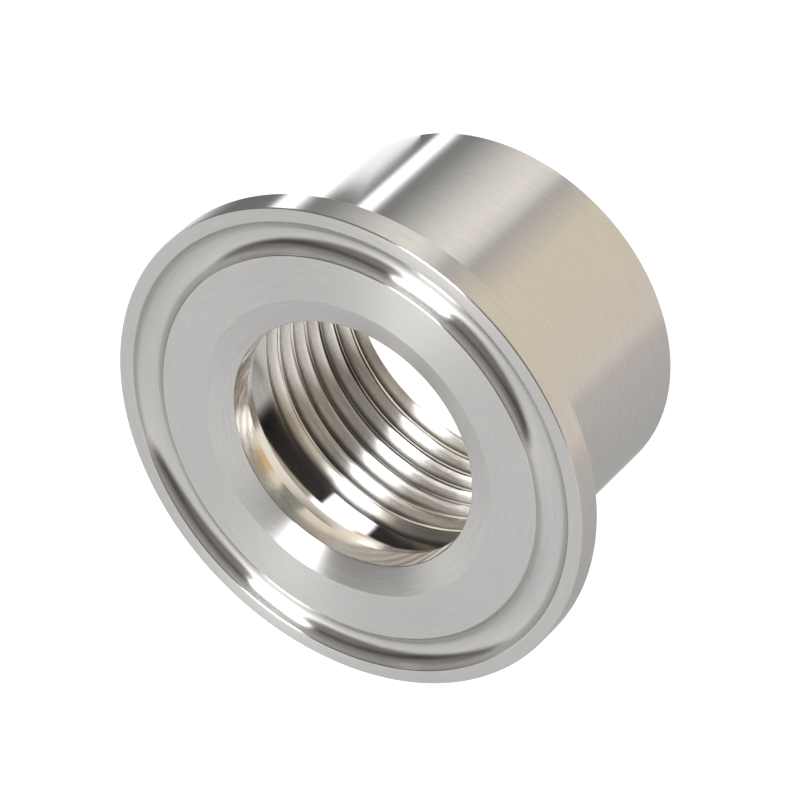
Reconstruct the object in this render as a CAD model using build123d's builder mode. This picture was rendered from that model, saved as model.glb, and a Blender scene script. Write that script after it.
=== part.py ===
"""Sanitary clamp adapter, turned from one bar of stainless steel.

The part stands on its threaded end, with its axis on Z and its sealing face on top.
All lengths are in millimetres and all angles in degrees.
"""

import os
from math import radians, tan

from build123d import *

os.makedirs("parts", exist_ok=True)

# Whole part
overall_length = 27.0  # threaded end to sealing face
body_wall = 2.475  # from the roots of the thread to the outside
body_edge_break = 0.3

# Clamp flange
flange_diameter = 50.5
rim_thickness = 2.85
rim_front_break = 0.15
rim_rear_break = 0.3
taper_angle = 20.0  # slope that the clamp ring presses on
neck_relief = 0.6  # bevel in the inside corner where the slope meets the body

# Gasket groove in the sealing face
groove_inset = 3.2  # from the flange's edge to the bottom of the groove
groove_section_radius = 1.75
groove_depth = 1.35
groove_lip_break = 0.2

# Dished mouth
mouth_diameter = 26.0
dish_width = 2.7  # from the mouth to the dish's outer edge
dish_depth = 0.95
mouth_depth = 3.3  # sealing face to the far end of the mouth's straight wall

# Conical seat behind the mouth
seat_angle = 20.0  # between the cone and the axis
seat_depth = 4.9  # sealing face to the seat's edge

# Undercut between the seat and the thread
undercut_clearance = 0.175  # outside the roots of the thread
undercut_end_depth = 9.7  # sealing face to the first turn of the thread
undercut_corner_bevel = 0.3

# Parallel pipe thread, 11 turns to the inch, with flanks at 55 degrees to each other.
# The bore is turned to the crests, and the turns are finer than this model goes.
thread_pitch = 25.4 / 11
thread_major_diameter = 33.249
thread_flank_angle = 27.5  # between a flank and the radius
entry_clearance = 0.275  # from the roots out to the lead-in's edge at the threaded end
entry_angle = 45.0

# Depth of the thread, with a sixth of the pitch left flat at crest and root
thread_flat = thread_pitch / 6
thread_depth = (thread_pitch / 2 - thread_flat) / tan(radians(thread_flank_angle))

# Radii
root_radius = thread_major_diameter / 2
crest_radius = root_radius - thread_depth
entry_radius = root_radius + entry_clearance
undercut_radius = root_radius + undercut_clearance
body_radius = root_radius + body_wall
flange_radius = flange_diameter / 2
groove_radius = flange_radius - groove_inset
mouth_radius = mouth_diameter / 2
dish_radius = mouth_radius + dish_width

# Heights above the threaded end
face_height = overall_length
rim_rear_height = face_height - rim_thickness
neck_height = rim_rear_height - (flange_radius - body_radius) * tan(radians(taper_angle))
mouth_edge_height = face_height - dish_depth
mouth_end_height = face_height - mouth_depth
seat_edge_height = face_height - seat_depth
undercut_end_height = face_height - undercut_end_depth
entry_height = (entry_radius - crest_radius) / tan(radians(entry_angle))

# The seat opens out from the mouth towards the undercut
seat_radius = mouth_radius + (mouth_end_height - seat_edge_height) * tan(radians(seat_angle))

# The circle that makes the gasket groove has its centre above the sealing face
groove_centre_height = face_height - groove_depth + groove_section_radius


with BuildPart() as clamp_adapter:
    # Half of the lengthwise section, as the lathe leaves it
    with BuildSketch(Plane.XZ) as section:
        with BuildLine():
            Polyline(
                (entry_radius, 0),
                (body_radius, 0),
                (body_radius, neck_height),
                (flange_radius, rim_rear_height),
                (flange_radius, face_height),
                (dish_radius, face_height),
                (mouth_radius, mouth_edge_height),
                (mouth_radius, mouth_end_height),
                (seat_radius, seat_edge_height),
                (undercut_radius, seat_edge_height),
                (undercut_radius, undercut_end_height),
                (crest_radius, undercut_end_height),
                (crest_radius, entry_height),
                close=True,
            )
        make_face()
        with Locations((groove_radius, groove_centre_height)):
            Circle(groove_section_radius, mode=Mode.SUBTRACT)

        # Lips of the gasket groove
        lips = section.vertices().filter_by(
            lambda corner: abs(corner.Y - face_height) < groove_lip_break
            and abs(corner.X - groove_radius) < groove_section_radius
        )
        chamfer(lips, groove_lip_break)

        # Broken edges of the flange and the body, and the bevels left in the inside corners
        for corner_radius, corner_height, break_size in (
            (flange_radius, face_height, rim_front_break),
            (flange_radius, rim_rear_height, rim_rear_break),
            (body_radius, neck_height, neck_relief),
            (body_radius, 0, body_edge_break),
            (undercut_radius, seat_edge_height, undercut_corner_bevel),
            (undercut_radius, undercut_end_height, undercut_corner_bevel),
        ):
            corner = section.vertices().sort_by_distance((corner_radius, corner_height))[0]
            chamfer(corner, break_size)
    revolve(axis=Axis.Z)

clamp_adapter.part.label = "clamp_adapter"
export_step(clamp_adapter.part, "parts/clamp_adapter.step")
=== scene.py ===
from math import atan2, cos, hypot, pi, radians, sin, sqrt, tan

import bmesh
import bpy
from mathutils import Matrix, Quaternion, Vector


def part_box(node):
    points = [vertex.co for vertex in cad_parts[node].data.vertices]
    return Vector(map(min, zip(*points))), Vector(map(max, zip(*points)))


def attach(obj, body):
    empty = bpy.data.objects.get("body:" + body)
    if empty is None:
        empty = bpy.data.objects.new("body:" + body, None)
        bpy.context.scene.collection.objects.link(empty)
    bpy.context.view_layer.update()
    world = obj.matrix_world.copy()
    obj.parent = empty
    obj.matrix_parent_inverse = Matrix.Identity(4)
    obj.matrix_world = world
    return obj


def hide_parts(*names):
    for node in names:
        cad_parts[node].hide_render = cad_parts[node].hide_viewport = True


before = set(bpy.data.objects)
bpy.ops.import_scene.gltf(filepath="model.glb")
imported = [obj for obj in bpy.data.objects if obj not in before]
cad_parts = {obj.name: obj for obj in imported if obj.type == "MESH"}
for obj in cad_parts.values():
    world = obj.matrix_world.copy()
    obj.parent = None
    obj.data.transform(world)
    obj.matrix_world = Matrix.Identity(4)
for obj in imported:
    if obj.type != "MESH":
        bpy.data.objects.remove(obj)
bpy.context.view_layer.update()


# Adapter body. The real piece is turned from one bar of stainless steel: a barrel, a clamp
# flange with a gasket groove in its face, and a dished mouth that opens into a threaded bore.
# Its section is drawn here once and spun round the axis.
mm = 0.001
overall_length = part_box("clamp_adapter")[1].z
flange_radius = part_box("clamp_adapter")[1].x
rim_thickness = 2.85 * mm
taper_angle = radians(20)
groove_inset = 3.2 * mm
groove_section_radius = 1.75 * mm
groove_depth = 1.35 * mm
mouth_radius = 13.0 * mm
dish_width = 2.7 * mm
dish_depth = 0.95 * mm
mouth_depth = 3.3 * mm
seat_angle = radians(20)
seat_depth = 4.9 * mm
undercut_end_depth = 9.7 * mm
thread_major_radius = 33.249 / 2 * mm
body_wall = 2.475 * mm
undercut_clearance = 0.175 * mm
entry_clearance = 0.275 * mm

body_edge_round = 0.3 * mm
neck_round = 0.6 * mm
rim_rear_round = 0.3 * mm
rim_front_round = 0.2 * mm
groove_lip_round = 0.2 * mm
mouth_edge_round = 0.08 * mm
undercut_round = 0.4 * mm
land_width = 0.1 * mm  # start of the flat rings that are closed once the thread is in place

body_radius = thread_major_radius + body_wall
undercut_radius = thread_major_radius + undercut_clearance
entry_radius = thread_major_radius + entry_clearance
groove_radius = flange_radius - groove_inset
dish_radius = mouth_radius + dish_width
rim_rear = overall_length - rim_thickness
neck_height = rim_rear - (flange_radius - body_radius) * tan(taper_angle)
dish_floor = overall_length - dish_depth
mouth_end = overall_length - mouth_depth
seat_end = overall_length - seat_depth
seat_radius = mouth_radius + (mouth_end - seat_end) * tan(seat_angle)
undercut_end = overall_length - undercut_end_depth

# The groove is an arc, and each of its lips an arc tangent to it and to the sealing face
groove_centre = overall_length - groove_depth + groove_section_radius
lip_centre = overall_length - groove_lip_round
lip_drop = groove_centre - lip_centre
lip_reach = sqrt((groove_section_radius + groove_lip_round) ** 2 - lip_drop ** 2)
lip_turn = atan2(lip_reach, lip_drop)

round_steps = 288
lip_steps = 8
groove_steps = 24
corner_steps = 8
adapter = bmesh.new()


def draw_line(corners, start=None):
    """Joins the corners, which are pairs of radius and height, with straight edges."""
    line = [start] if start else []
    for radius, height in corners:
        line.append(adapter.verts.new((radius, 0, height)))
    for near, far in zip(line, line[1:]):
        adapter.edges.new((near, far))
    return line


def draw_arc(start, centre_radius, centre_height, turn, steps):
    """Carries the line on along an arc and returns the arc's far end."""
    arc = bmesh.ops.spin(
        adapter, geom=[start], cent=(centre_radius, 0, centre_height), axis=(0, 1, 0),
        angle=turn, steps=steps, use_merge=False, use_duplicate=False,
    )
    return arc["geom_last"][0]


def round_corner(form, corners, size, steps):
    """Rounds each of the corners of a section."""
    bmesh.ops.bevel(
        form, geom=corners, offset=size, offset_type="OFFSET", segments=steps,
        profile=0.5, affect="VERTICES", material=-1,
    )


outside = draw_line((
    (entry_radius + land_width, 0),
    (body_radius, 0),
    (body_radius, neck_height),
    (flange_radius, rim_rear),
    (flange_radius, overall_length),
    (groove_radius + lip_reach, overall_length),
))
groove = draw_arc(outside[-1], groove_radius + lip_reach, lip_centre, -lip_turn, lip_steps)
groove = draw_arc(groove, groove_radius, groove_centre, 2 * lip_turn, groove_steps)
groove = draw_arc(groove, groove_radius - lip_reach, lip_centre, -lip_turn, lip_steps)
inside = draw_line((
    (dish_radius, overall_length),
    (mouth_radius, dish_floor),
    (mouth_radius, mouth_end),
    (seat_radius, seat_end),
    (undercut_radius, seat_end),
    (undercut_radius, undercut_end),
    (undercut_radius - land_width, undercut_end),
), start=groove)
for corner, size in (
    (outside[1], body_edge_round),
    (outside[2], neck_round),
    (outside[3], rim_rear_round),
    (outside[4], rim_front_round),
    (inside[2], mouth_edge_round),
    (inside[5], undercut_round),
):
    round_corner(adapter, [corner], size, corner_steps)
bmesh.ops.spin(
    adapter, geom=adapter.edges[:] + adapter.verts[:], cent=(0, 0, 0), axis=(0, 0, 1),
    angle=2 * pi, steps=round_steps, use_merge=True, use_duplicate=False,
)


# Thread in the bore. It is a right-hand parallel pipe thread, 11 turns to the inch, cut with
# one tool that leaves its roots rounded and the crests as they were bored. One turn is spun
# up its own helix, copied up the bore and cut off at the undercut and at the threaded end.
thread_pitch = 25.4 / 11 * mm
flank_angle = radians(27.5)  # between a flank and the radius
crest_round = 0.07 * mm
root_round = 0.18 * mm
crest_offset = -1.616 * mm  # a crest's height over the threaded end, on the +X side
thread_turns = 10
crest_steps = 3
root_steps = 4
flank_cuts = 3
seam_gap = 0.001 * mm

thread_flat = thread_pitch / 6
flank_rise = thread_pitch / 2 - thread_flat
crest_radius = thread_major_radius - flank_rise / tan(flank_angle)
first_crest = crest_offset - thread_pitch

thread = bmesh.new()
turn_profile = [thread.verts.new((radius, 0, first_crest + height)) for radius, height in (
    (crest_radius, 0),
    (crest_radius, thread_flat / 2),
    (thread_major_radius, thread_flat / 2 + flank_rise),
    (thread_major_radius, thread_pitch - thread_flat / 2 - flank_rise),
    (crest_radius, thread_pitch - thread_flat / 2),
    (crest_radius, thread_pitch),
)]
for near, far in zip(turn_profile, turn_profile[1:]):
    thread.edges.new((near, far))
round_corner(thread, [turn_profile[1], turn_profile[4]], crest_round, crest_steps)
round_corner(thread, [turn_profile[2], turn_profile[3]], root_round, root_steps)
bmesh.ops.subdivide_edges(
    thread, edges=[edge for edge in thread.edges if edge.calc_length() > thread_pitch / 4],
    cuts=flank_cuts,
)
bmesh.ops.spin(
    thread, geom=thread.edges[:] + thread.verts[:], cent=(0, 0, 0), axis=(0, 0, 1),
    dvec=(0, 0, thread_pitch / round_steps), angle=2 * pi, steps=round_steps,
    use_merge=False, use_duplicate=False,
)
one_turn = thread.verts[:] + thread.edges[:] + thread.faces[:]
for turn in range(1, thread_turns):
    copied = bmesh.ops.duplicate(thread, geom=one_turn)["geom"]
    bmesh.ops.translate(
        thread, verts=[part for part in copied if isinstance(part, bmesh.types.BMVert)],
        vec=(0, 0, turn * thread_pitch),
    )
bmesh.ops.remove_doubles(thread, verts=thread.verts, dist=seam_gap)

# The lead-in at the threaded end is a 45 degree cone that cuts the turns back. The turns are
# then cut off level, and flat rings join them to the body.
cut_precision = 1e-8
same_height = 1e-7
for corner in thread.verts:
    radius = hypot(corner.co.x, corner.co.y)
    cone_radius = entry_radius - corner.co.z
    if cone_radius > radius:
        corner.co.x *= cone_radius / radius
        corner.co.y *= cone_radius / radius
for height, up in ((0, -1), (undercut_end, 1)):
    bmesh.ops.bisect_plane(
        thread, geom=thread.verts[:] + thread.edges[:] + thread.faces[:], dist=cut_precision,
        plane_co=(0, 0, height), plane_no=(0, 0, up), clear_outer=True, clear_inner=False,
    )
thread_mesh = bpy.data.meshes.new("thread")
thread.to_mesh(thread_mesh)
thread.free()
adapter.from_mesh(thread_mesh)
bpy.data.meshes.remove(thread_mesh)
for height in (0, undercut_end):
    ring = [
        edge for edge in adapter.edges
        if edge.is_boundary
        and all(abs(corner.co.z - height) < same_height for corner in edge.verts)
    ]
    bmesh.ops.triangle_fill(adapter, edges=ring, use_beauty=True, use_dissolve=False)
bmesh.ops.recalc_face_normals(adapter, faces=adapter.faces)

# Turned edges stay crisp, and arcs are shaded as one surface
crisp_angle = radians(14)
for face in adapter.faces:
    face.smooth = True
for edge in adapter.edges:
    edge.smooth = edge.calc_face_angle(0) < crisp_angle

adapter_mesh = bpy.data.meshes.new("adapter")
adapter.to_mesh(adapter_mesh)
adapter.free()
adapter_piece = bpy.data.objects.new("adapter", adapter_mesh)
bpy.context.scene.collection.objects.link(adapter_piece)
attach(adapter_piece, "root")
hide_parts("clamp_adapter")

# Turned stainless steel. The tool's marks run round the axis, so the metal is rough along its
# section and nearly a mirror round it, and each surface keeps the finish of its own tool.
mark_spacing = 0.12 * mm
mark_run = 2.5 * mm
mark_detail = 3
mark_start, mark_end = 0.3, 0.7  # the part of the noise that goes from dark to light
dark_mark = (0.63, 0.62, 0.605)
light_mark = (0.69, 0.68, 0.665)
along_section = 0.25  # the quarter turn that lays the gloss across the marks
painted_root_shade_start, painted_root_shade_end = 0.7 * mm, 1.25 * mm  # out from the crests, where the painted shade of the roots begins and where it is full
painted_root_share = 0.25  # of the flank's tone that the painted shade leaves at the roots

# Fine marks that run a little way round and lie close together along the section
turning_marks = bpy.data.node_groups.new("turning_marks", "ShaderNodeTree")
for name in ("Dark Mark", "Light Mark"):
    turning_marks.interface.new_socket(name=name, in_out="INPUT", socket_type="NodeSocketColor")
turning_marks.interface.new_socket(name="Tone", in_out="OUTPUT", socket_type="NodeSocketColor")
nodes, links = turning_marks.nodes, turning_marks.links
tones = nodes.new("NodeGroupInput")
place = nodes.new("ShaderNodeTexCoord")
stretched = nodes.new("ShaderNodeVectorMath")
stretched.operation = "MULTIPLY"
stretched.inputs[1].default_value = (1 / mark_run, 1 / mark_run, 1 / mark_spacing)
links.new(place.outputs["Object"], stretched.inputs[0])
flattened = nodes.new("ShaderNodeVectorMath")
flattened.operation = "MULTIPLY"
flattened.inputs[1].default_value = (1 / mark_spacing, 1 / mark_spacing, 0)
links.new(place.outputs["Object"], flattened.inputs[0])
radius_out = nodes.new("ShaderNodeVectorMath")
radius_out.operation = "LENGTH"
links.new(flattened.outputs["Vector"], radius_out.inputs[0])
marks = nodes.new("ShaderNodeTexNoise")
marks.noise_dimensions = "4D"
marks.inputs["Scale"].default_value = 1
marks.inputs["Detail"].default_value = mark_detail
links.new(stretched.outputs["Vector"], marks.inputs["Vector"])
links.new(radius_out.outputs["Value"], marks.inputs["W"])
mark_share = nodes.new("ShaderNodeMapRange")
mark_share.inputs["From Min"].default_value = mark_start
mark_share.inputs["From Max"].default_value = mark_end
links.new(marks.outputs["Fac"], mark_share.inputs["Value"])
mark_tone = nodes.new("ShaderNodeMix")
mark_tone.data_type = "RGBA"
links.new(mark_share.outputs["Result"], mark_tone.inputs["Factor"])
links.new(tones.outputs["Dark Mark"], mark_tone.inputs[6])
links.new(tones.outputs["Light Mark"], mark_tone.inputs[7])
group_end = nodes.new("NodeGroupOutput")
links.new(mark_tone.outputs[2], group_end.inputs["Tone"])

# The bore is the smoothest and the flats of the sealing face are ground. The flanks of the
# thread are painted lighter, a painted highlight, and painted shade darkens them towards the
# roots
for name, roughness, anisotropy, painted_brightness in (
    ("barrel_steel", 0.2, 1, 1),
    ("flat_steel", 0.32, 0.8, 1),
    ("groove_steel", 0.17, 1, 1),
    ("dish_steel", 0.2, 1, 1),
    ("bore_steel", 0.07, 1, 1),
    ("flank_steel", 0.24, 1, 1.4),
):
    material = bpy.data.materials.new(name)
    material.use_nodes = True
    nodes, links = material.node_tree.nodes, material.node_tree.links
    steel = nodes["Principled BSDF"]
    steel.inputs["Metallic"].default_value = 1
    steel.inputs["Roughness"].default_value = roughness
    steel.inputs["Anisotropic"].default_value = anisotropy
    steel.inputs["Anisotropic Rotation"].default_value = along_section
    marks_direction = nodes.new("ShaderNodeTangent")
    marks_direction.direction_type = "RADIAL"
    marks_direction.axis = "Z"
    links.new(marks_direction.outputs["Tangent"], steel.inputs["Tangent"])
    marked = nodes.new("ShaderNodeGroup")
    marked.node_tree = turning_marks
    marked.inputs["Dark Mark"].default_value = (*(part * painted_brightness for part in dark_mark), 1)
    marked.inputs["Light Mark"].default_value = (*(part * painted_brightness for part in light_mark), 1)
    tone = marked.outputs["Tone"]
    if name == "flank_steel":
        # Painted shade: the flank's colour darkens from near the crests out to the roots, where
        # shadow falls
        place = nodes.new("ShaderNodeTexCoord")
        level = nodes.new("ShaderNodeVectorMath")
        level.operation = "MULTIPLY"
        level.inputs[1].default_value = (1, 1, 0)
        links.new(place.outputs["Object"], level.inputs[0])
        radius_out = nodes.new("ShaderNodeVectorMath")
        radius_out.operation = "LENGTH"
        links.new(level.outputs["Vector"], radius_out.inputs[0])
        painted_root_shade = nodes.new("ShaderNodeMapRange")
        painted_root_shade.interpolation_type = "SMOOTHSTEP"
        painted_root_shade.inputs["From Min"].default_value = crest_radius + painted_root_shade_start
        painted_root_shade.inputs["From Max"].default_value = crest_radius + painted_root_shade_end
        painted_root_shade.inputs["To Min"].default_value = 1
        painted_root_shade.inputs["To Max"].default_value = painted_root_share
        links.new(radius_out.outputs["Value"], painted_root_shade.inputs["Value"])
        painted_shaded_tone = nodes.new("ShaderNodeVectorMath")
        painted_shaded_tone.operation = "SCALE"
        links.new(tone, painted_shaded_tone.inputs[0])
        links.new(painted_root_shade.outputs["Result"], painted_shaded_tone.inputs["Scale"])
        tone = painted_shaded_tone.outputs["Vector"]
    links.new(tone, steel.inputs["Base Color"])
    adapter_mesh.materials.append(material)

# Each face takes the finish of the surface that it lies on, by its radius and its height
barrel, flat, groove_wall, dish, bore, flank = range(6)
margin = 0.01 * mm
crest_margin = 0.05 * mm
for face in adapter_mesh.polygons:
    out, up = hypot(face.center.x, face.center.y), face.center.z
    in_groove = abs(out - groove_radius) < lip_reach - margin
    if in_groove and up > overall_length - groove_depth - margin:
        face.material_index = groove_wall
    elif up > overall_length - margin:
        face.material_index = flat
    elif up > dish_floor and mouth_radius < out < dish_radius:
        face.material_index = dish
    elif up < undercut_end - margin and crest_radius + crest_margin < out < thread_major_radius:
        face.material_index = flank
    elif up > 0 and out < undercut_radius + margin:
        face.material_index = bore
    else:
        face.material_index = barrel


# Floor. It is plain and white, and the camera sees it lit evenly, with a faint shadow. The
# metal doesn't see it: what the metal mirrors is the studio and the cards below.
floor_half_width = 3
floor_grey = (0.2, 0.2, 0.2)
floor_form = bmesh.new()
bmesh.ops.create_grid(floor_form, x_segments=1, y_segments=1, size=floor_half_width)
floor_mesh = bpy.data.meshes.new("floor")
floor_form.to_mesh(floor_mesh)
floor_form.free()
floor = bpy.data.objects.new("floor", floor_mesh)
bpy.context.scene.collection.objects.link(floor)
floor.visible_glossy = False

floor_white = bpy.data.materials.new("floor_white")
floor_white.use_nodes = True
nodes, links = floor_white.node_tree.nodes, floor_white.node_tree.links
paint = nodes["Principled BSDF"]
paint.inputs["Base Color"].default_value = (*floor_grey, 1)
paint.inputs["Roughness"].default_value = 1
paint.inputs["Specular IOR Level"].default_value = 0
paint.inputs["Emission Color"].default_value = (1, 1, 1, 1)
ray = nodes.new("ShaderNodeLightPath")
links.new(ray.outputs["Is Camera Ray"], paint.inputs["Emission Strength"])
floor_mesh.materials.append(floor_white)


# Studio. The panels of the light tent stand all round at the level of the barrel, some white,
# some grey, with gaps between them. Its back is pale, its front, round the camera, is dark,
# and a soft lamp hangs overhead.
world = bpy.data.worlds.new("studio")
bpy.context.scene.world = world
world.use_nodes = True
nodes, links = world.node_tree.nodes, world.node_tree.links
background = nodes["Background"]
bearing = nodes.new("ShaderNodeTexCoord")

# A panel's edges lean so that the barrel mirrors them along its length: each panel is given
# by the side of the barrel, in degrees round from +X, that mirrors it to the front
to_camera = Vector((0.472, -0.543, 0.694))
leaning = nodes.new("ShaderNodeVectorMath")
leaning.operation = "ADD"
leaning.inputs[1].default_value = to_camera
links.new(bearing.outputs["Generated"], leaning.inputs[0])
lean_axes = nodes.new("ShaderNodeSeparateXYZ")
links.new(leaning.outputs["Vector"], lean_axes.inputs["Vector"])
side = nodes.new("ShaderNodeMath")
side.operation = "ARCTAN2"
links.new(lean_axes.outputs["Y"], side.inputs[0])
links.new(lean_axes.outputs["X"], side.inputs[1])
round_share = nodes.new("ShaderNodeMapRange")
round_share.inputs["From Min"].default_value = -pi
round_share.inputs["From Max"].default_value = pi
links.new(side.outputs["Value"], round_share.inputs["Value"])
panels = nodes.new("ShaderNodeValToRGB")
links.new(round_share.outputs["Result"], panels.inputs["Fac"])

beige = (0.90, 0.82, 0.67)
brightest = 4.0  # a ramp's own tones end at 1
panel_tones = (
    (-180, (0.9, 0.9, 0.9)),
    (-138, (0.9, 0.9, 0.9)),
    (-133, (0.62, 0.61, 0.60)),
    (-127, (0.52, 0.51, 0.50)),
    (-115, (0.54, 0.53, 0.52)),
    (-95, (0.62, 0.60, 0.58)),
    (-86, (0.68, 0.63, 0.60)),
    (-81, (0.88, 0.80, 0.72)),
    (-60, beige),
    (-46, beige),
    (-39, (0.70, 0.64, 0.57)),
    (-36, (0.58, 0.55, 0.52)),
    (-34.5, (0.58, 0.55, 0.52)),
    (-32, (0.88, 0.84, 0.80)),
    (-27, (1.08, 1.03, 0.97)),
    (-20, (0.96, 0.92, 0.86)),
    (-13, (0.66, 0.65, 0.62)),
    (-5, (0.33, 0.33, 0.32)),
    (-1, (0.30, 0.30, 0.30)),
    (1, (0.80, 0.80, 0.80)),
    (2.5, (2.2, 2.2, 2.2)),
    (6, (2.2, 2.2, 2.2)),
    (8.5, (0.25, 0.25, 0.25)),
    (20, (0.21, 0.21, 0.21)),
    (25, (0.40, 0.40, 0.40)),
    (33, (1.00, 1.00, 1.00)),
    (38, (0.80, 0.80, 0.80)),
    (60, (0.70, 0.70, 0.70)),
    (105, (0.55, 0.55, 0.55)),
    (150, (0.60, 0.60, 0.60)),
    (180, (0.9, 0.9, 0.9)),
)
stops = panels.color_ramp.elements
stops[0].position, stops[1].position = 0, 1
for side_degrees, tone in panel_tones[1:-1]:
    stops.new(side_degrees / 360 + 0.5)
for stop, (side_degrees, tone) in zip(stops, panel_tones):
    stop.color = (*(part / brightest for part in tone), 1)
panel_light = nodes.new("ShaderNodeVectorMath")
panel_light.operation = "SCALE"
panel_light.inputs["Scale"].default_value = brightest
links.new(panels.outputs["Color"], panel_light.inputs[0])

# Over the panels the tent is pale at the back and dark towards the front, with a still darker
# band at the camera's height there, and a long soft lamp that ends in a wider head hangs in
# it. Each ramp runs over the bearing's part along one direction.
to_front = (0.978, -0.208, 0)
lamp_across = (0.561, 0.828, 0)
lamp_along = (0.828, -0.561, 0)
lamp_brightness = 8


def tent_ramp(along, tones):
    """Gives a tone by how far the bearing reaches along a direction, from -1 to 1."""
    reach = nodes.new("ShaderNodeVectorMath")
    reach.operation = "DOT_PRODUCT"
    reach.inputs[1].default_value = Vector(along).normalized()
    links.new(bearing.outputs["Generated"], reach.inputs[0])
    share = nodes.new("ShaderNodeMapRange")
    share.inputs["From Min"].default_value = -1
    share.inputs["From Max"].default_value = 1
    links.new(reach.outputs["Value"], share.inputs["Value"])
    ramp = nodes.new("ShaderNodeValToRGB")
    links.new(share.outputs["Result"], ramp.inputs["Fac"])
    stops = ramp.color_ramp.elements
    stops[0].position, stops[1].position = 0, 1
    for position, tone in tones[1:-1]:
        stops.new(position / 2 + 0.5)
    for stop, (position, tone) in zip(stops, tones):
        stop.color = (*tone, 1) if isinstance(tone, tuple) else (tone, tone, tone, 1)
    return ramp.outputs["Color"]


tent_tone = tent_ramp(to_front, (
    (-1, 0.62),
    (-0.66, 0.75),
    (-0.40, 0.79),
    (-0.13, (0.88, 0.87, 0.86)),
    (0.02, 0.10),
    (0.06, 0.10),
    (0.14, (0.20, 0.18, 0.16)),
    (0.4, (0.30, 0.28, 0.26)),
    (1, 0.32),
))
front_shade = tent_ramp((0, 0, 1), (
    (-1, 1), (0.50, 1), (0.62, 0.11), (0.72, 0.11), (0.80, 1), (1, 1),
))
front_side = tent_ramp(to_front, ((-1, 1), (-0.10, 1), (0.04, 0), (1, 0)))
shade_share = nodes.new("ShaderNodeMath")
shade_share.operation = "MAXIMUM"
links.new(front_shade, shade_share.inputs[0])
links.new(front_side, shade_share.inputs[1])
shaded = nodes.new("ShaderNodeVectorMath")
shaded.operation = "SCALE"
links.new(tent_tone, shaded.inputs[0])
links.new(shade_share.outputs["Value"], shaded.inputs["Scale"])

lamp_parts = []
for across_tones, along_tones in (
    (  # the lamp itself
        ((-1, 0), (0.06, 0), (0.10, 1), (0.27, 1), (0.31, 0), (1, 0)),
        ((-1, 0), (-0.60, 0), (-0.30, 0.4), (0, 1), (0.72, 1), (0.80, 0), (1, 0)),
    ),
    (  # its head
        ((-1, 0), (-0.01, 0), (0.05, 1), (0.36, 1), (0.44, 0), (1, 0)),
        ((-1, 0), (0.48, 0), (0.58, 1), (0.72, 1), (0.80, 0), (1, 0)),
    ),
):
    lamp_part = nodes.new("ShaderNodeMath")
    lamp_part.operation = "MULTIPLY"
    links.new(tent_ramp(lamp_across, across_tones), lamp_part.inputs[0])
    links.new(tent_ramp(lamp_along, along_tones), lamp_part.inputs[1])
    lamp_parts.append(lamp_part)
lamp_share = nodes.new("ShaderNodeMath")
lamp_share.operation = "MAXIMUM"
for socket, lamp_part in zip(lamp_share.inputs, lamp_parts):
    links.new(lamp_part.outputs["Value"], socket)
tent_top = nodes.new("ShaderNodeMix")
tent_top.data_type = "RGBA"
links.new(lamp_share.outputs["Value"], tent_top.inputs["Factor"])
links.new(shaded.outputs["Vector"], tent_top.inputs[6])
lamp_glow = tent_ramp(lamp_along, ((-1, 0.35), (0.10, 0.35), (0.25, 1), (1, 1)))
lamp_light = nodes.new("ShaderNodeVectorMath")
lamp_light.operation = "SCALE"
lamp_light.inputs["Scale"].default_value = lamp_brightness
links.new(lamp_glow, lamp_light.inputs[0])
links.new(lamp_light.outputs["Vector"], tent_top.inputs[7])

# The panels pass into the tent over this range of the bearing's part along Z
panel_fade_start, panel_fade_end = -0.1, 0.25
axes = nodes.new("ShaderNodeSeparateXYZ")
links.new(bearing.outputs["Generated"], axes.inputs["Vector"])
panel_top = nodes.new("ShaderNodeMapRange")
panel_top.inputs["From Min"].default_value = panel_fade_start
panel_top.inputs["From Max"].default_value = panel_fade_end
links.new(axes.outputs["Z"], panel_top.inputs["Value"])
tent = nodes.new("ShaderNodeMix")
tent.data_type = "RGBA"
links.new(panel_top.outputs["Result"], tent.inputs["Factor"])
links.new(panel_light.outputs["Vector"], tent.inputs[6])
links.new(tent_top.outputs[2], tent.inputs[7])

# The camera itself sees plain white
ray = nodes.new("ShaderNodeLightPath")
seen = nodes.new("ShaderNodeMix")
seen.data_type = "RGBA"
links.new(ray.outputs["Is Camera Ray"], seen.inputs["Factor"])
links.new(tent.outputs[2], seen.inputs[6])
seen.inputs[7].default_value = (1, 1, 1, 1)
links.new(seen.outputs[2], background.inputs["Color"])

bpy.context.scene.view_settings.view_transform = "Standard"


# Cards. Only the metal sees them: a white one on the floor, whose streak the barrel mirrors,
# the ground under the bore with a painted shadow and a painted pool of the light that falls in,
# and a glowing ring under the roof of the undercut, painted light and shade that the flanks of
# the thread mirror.


def make_card(name, card_form):
    """Sets up a flat card that only the metal sees, and returns its material's shader."""
    card_mesh = bpy.data.meshes.new(name)
    card_form.to_mesh(card_mesh)
    card_form.free()
    card = bpy.data.objects.new(name, card_mesh)
    bpy.context.scene.collection.objects.link(card)
    card.visible_camera = False
    card.visible_diffuse = False
    card.visible_shadow = False
    paper = bpy.data.materials.new(name)
    paper.use_nodes = True
    card_mesh.materials.append(paper)
    sheet = paper.node_tree.nodes["Principled BSDF"]
    sheet.inputs["Base Color"].default_value = (0, 0, 0, 1)
    sheet.inputs["Specular IOR Level"].default_value = 0
    return sheet


barrel_card_height = 0.05 * mm
barrel_card_brightness = 1.4
barrel_card = bmesh.new()
barrel_card.faces.new([
    barrel_card.verts.new((x * mm, y * mm, barrel_card_height))
    for x, y in ((18.6, 5.0), (20.4, 14.6), (3, 25.9), (0, 17))
])
sheet = make_card("barrel_card", barrel_card)
sheet.inputs["Emission Color"].default_value = (1, 1, 1, 1)
sheet.inputs["Emission Strength"].default_value = barrel_card_brightness
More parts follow.
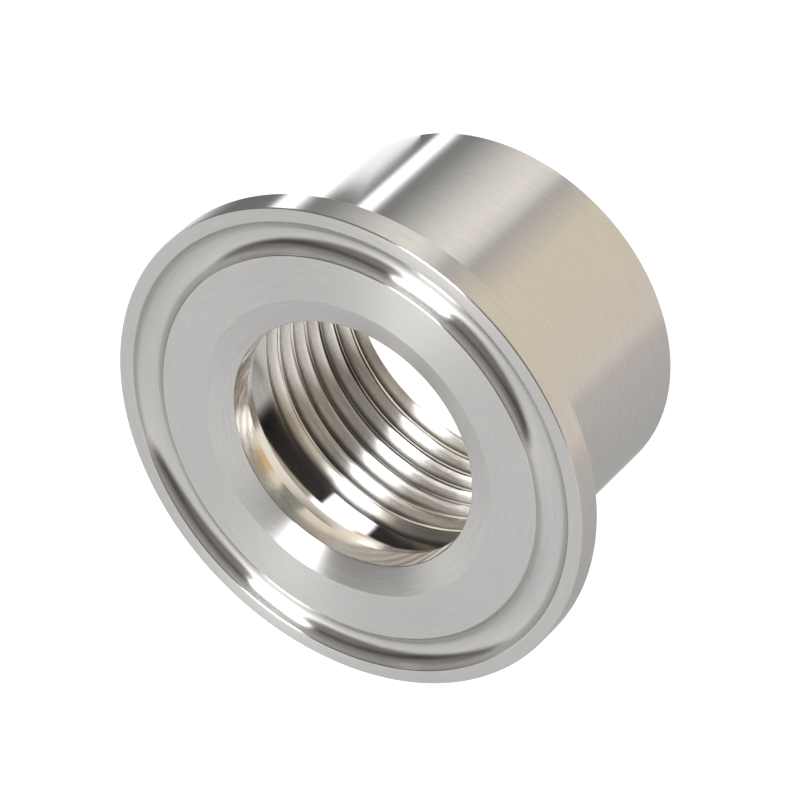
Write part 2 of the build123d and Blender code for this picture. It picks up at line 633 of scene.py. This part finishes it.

# The two round cards glow in soft patches of painted light and painted shade. Each patch has a
# centre, the radius up to which it is even, the radius where it ends, all in mm, and its tone.
round_card_steps = 72
for name, height, inner_radius, outer_radius, ground_tone, patches in (
    # the ground under the bore: a painted shadow of the part, painted darker and lighter patches,
    # and a painted pool of the lamp's light
    ("bore_ground", 0.02 * mm, 0.01 * mm, entry_radius, (1.1, 0.98, 0.80), (
        ((-3.5, 3.5, 0), 6.5, 8.0, (0.01, 0.01, 0.01)),
        ((8, -10, 0), 3.5, 6.0, (0.35, 0.36, 0.30)),
        ((-3.8, -14.2, 0), 2.5, 5.5, (1.0, 0.68, 0.36)),
        ((5.4, 1.8, 0), 3.0, 4.6, (3, 3, 3)),
        ((-9.8, 8.8, 0), 3.0, 4.2, (1.15, 1.05, 0.92)),
    )),
    # the ring: painted light that glows, with a painted dark patch and a painted bright spot
    ("roof_ring", seat_end - 0.05 * mm, 14.0 * mm, 16.7 * mm, (1.35, 1.19, 0.97), (
        ((4, 15, 22), 8.0, 10.5, (1.15, 1.15, 1.13)),
        ((-15.3, 0, 22), 7.0, 8.6, (0.08, 0.07, 0.06)),
        ((-10.6, 9.4, 22), 1.7, 2.7, (3.5, 3.5, 3.5)),
    )),
):
    round_card = bmesh.new()
    spoke = [round_card.verts.new((radius, 0, height)) for radius in (inner_radius, outer_radius)]
    round_card.edges.new(spoke)
    bmesh.ops.spin(
        round_card, geom=round_card.edges[:] + round_card.verts[:], cent=(0, 0, 0),
        axis=(0, 0, 1), angle=2 * pi, steps=round_card_steps, use_merge=True, use_duplicate=False,
    )
    sheet = make_card(name, round_card)
    nodes, links = sheet.id_data.nodes, sheet.id_data.links
    sheet.inputs["Emission Strength"].default_value = 1
    place = nodes.new("ShaderNodeTexCoord")
    painted_light_and_shade = None
    for centre, core, edge, tone in patches:
        away = nodes.new("ShaderNodeVectorMath")
        away.operation = "DISTANCE"
        away.inputs[1].default_value = Vector(centre) * mm
        links.new(place.outputs["Object"], away.inputs[0])
        share = nodes.new("ShaderNodeMapRange")
        share.interpolation_type = "SMOOTHSTEP"
        share.inputs["From Min"].default_value = edge * mm
        share.inputs["From Max"].default_value = core * mm
        links.new(away.outputs["Value"], share.inputs["Value"])
        patch = nodes.new("ShaderNodeMix")
        patch.data_type = "RGBA"
        patch.inputs[6].default_value = (*ground_tone, 1)
        patch.inputs[7].default_value = (*tone, 1)
        links.new(share.outputs["Result"], patch.inputs["Factor"])
        if painted_light_and_shade:
            links.new(painted_light_and_shade, patch.inputs[6])
        painted_light_and_shade = patch.outputs[2]
    links.new(painted_light_and_shade, sheet.inputs["Emission Color"])


# Camera. It looks down on the sealing face from 44 degrees above the floor and is rolled,
# so that the part's axis runs from the lower left of the picture to the upper right.
view_azimuth = radians(-49.0)
view_elevation = radians(43.95)
view_distance = 0.5504
view_lens = 264.1
sensor_width = 36
view_roll = radians(132.6)
view_target = Vector((-1.31, 1.55, 15.61)) * mm
view_direction = Vector((
    cos(view_elevation) * cos(view_azimuth),
    cos(view_elevation) * sin(view_azimuth),
    sin(view_elevation),
))
camera_data = bpy.data.cameras.new("camera")
camera_data.lens = view_lens
camera_data.sensor_width = sensor_width
camera_data.clip_start = 0.01
camera_data.clip_end = 20
camera = bpy.data.objects.new("camera", camera_data)
camera.location = view_target + view_distance * view_direction
camera.rotation_mode = "QUATERNION"
camera.rotation_quaternion = (
    view_direction.to_track_quat("Z", "Y") @ Quaternion((0, 0, 1), -view_roll)
)
bpy.context.scene.collection.objects.link(camera)
bpy.context.scene.camera = camera
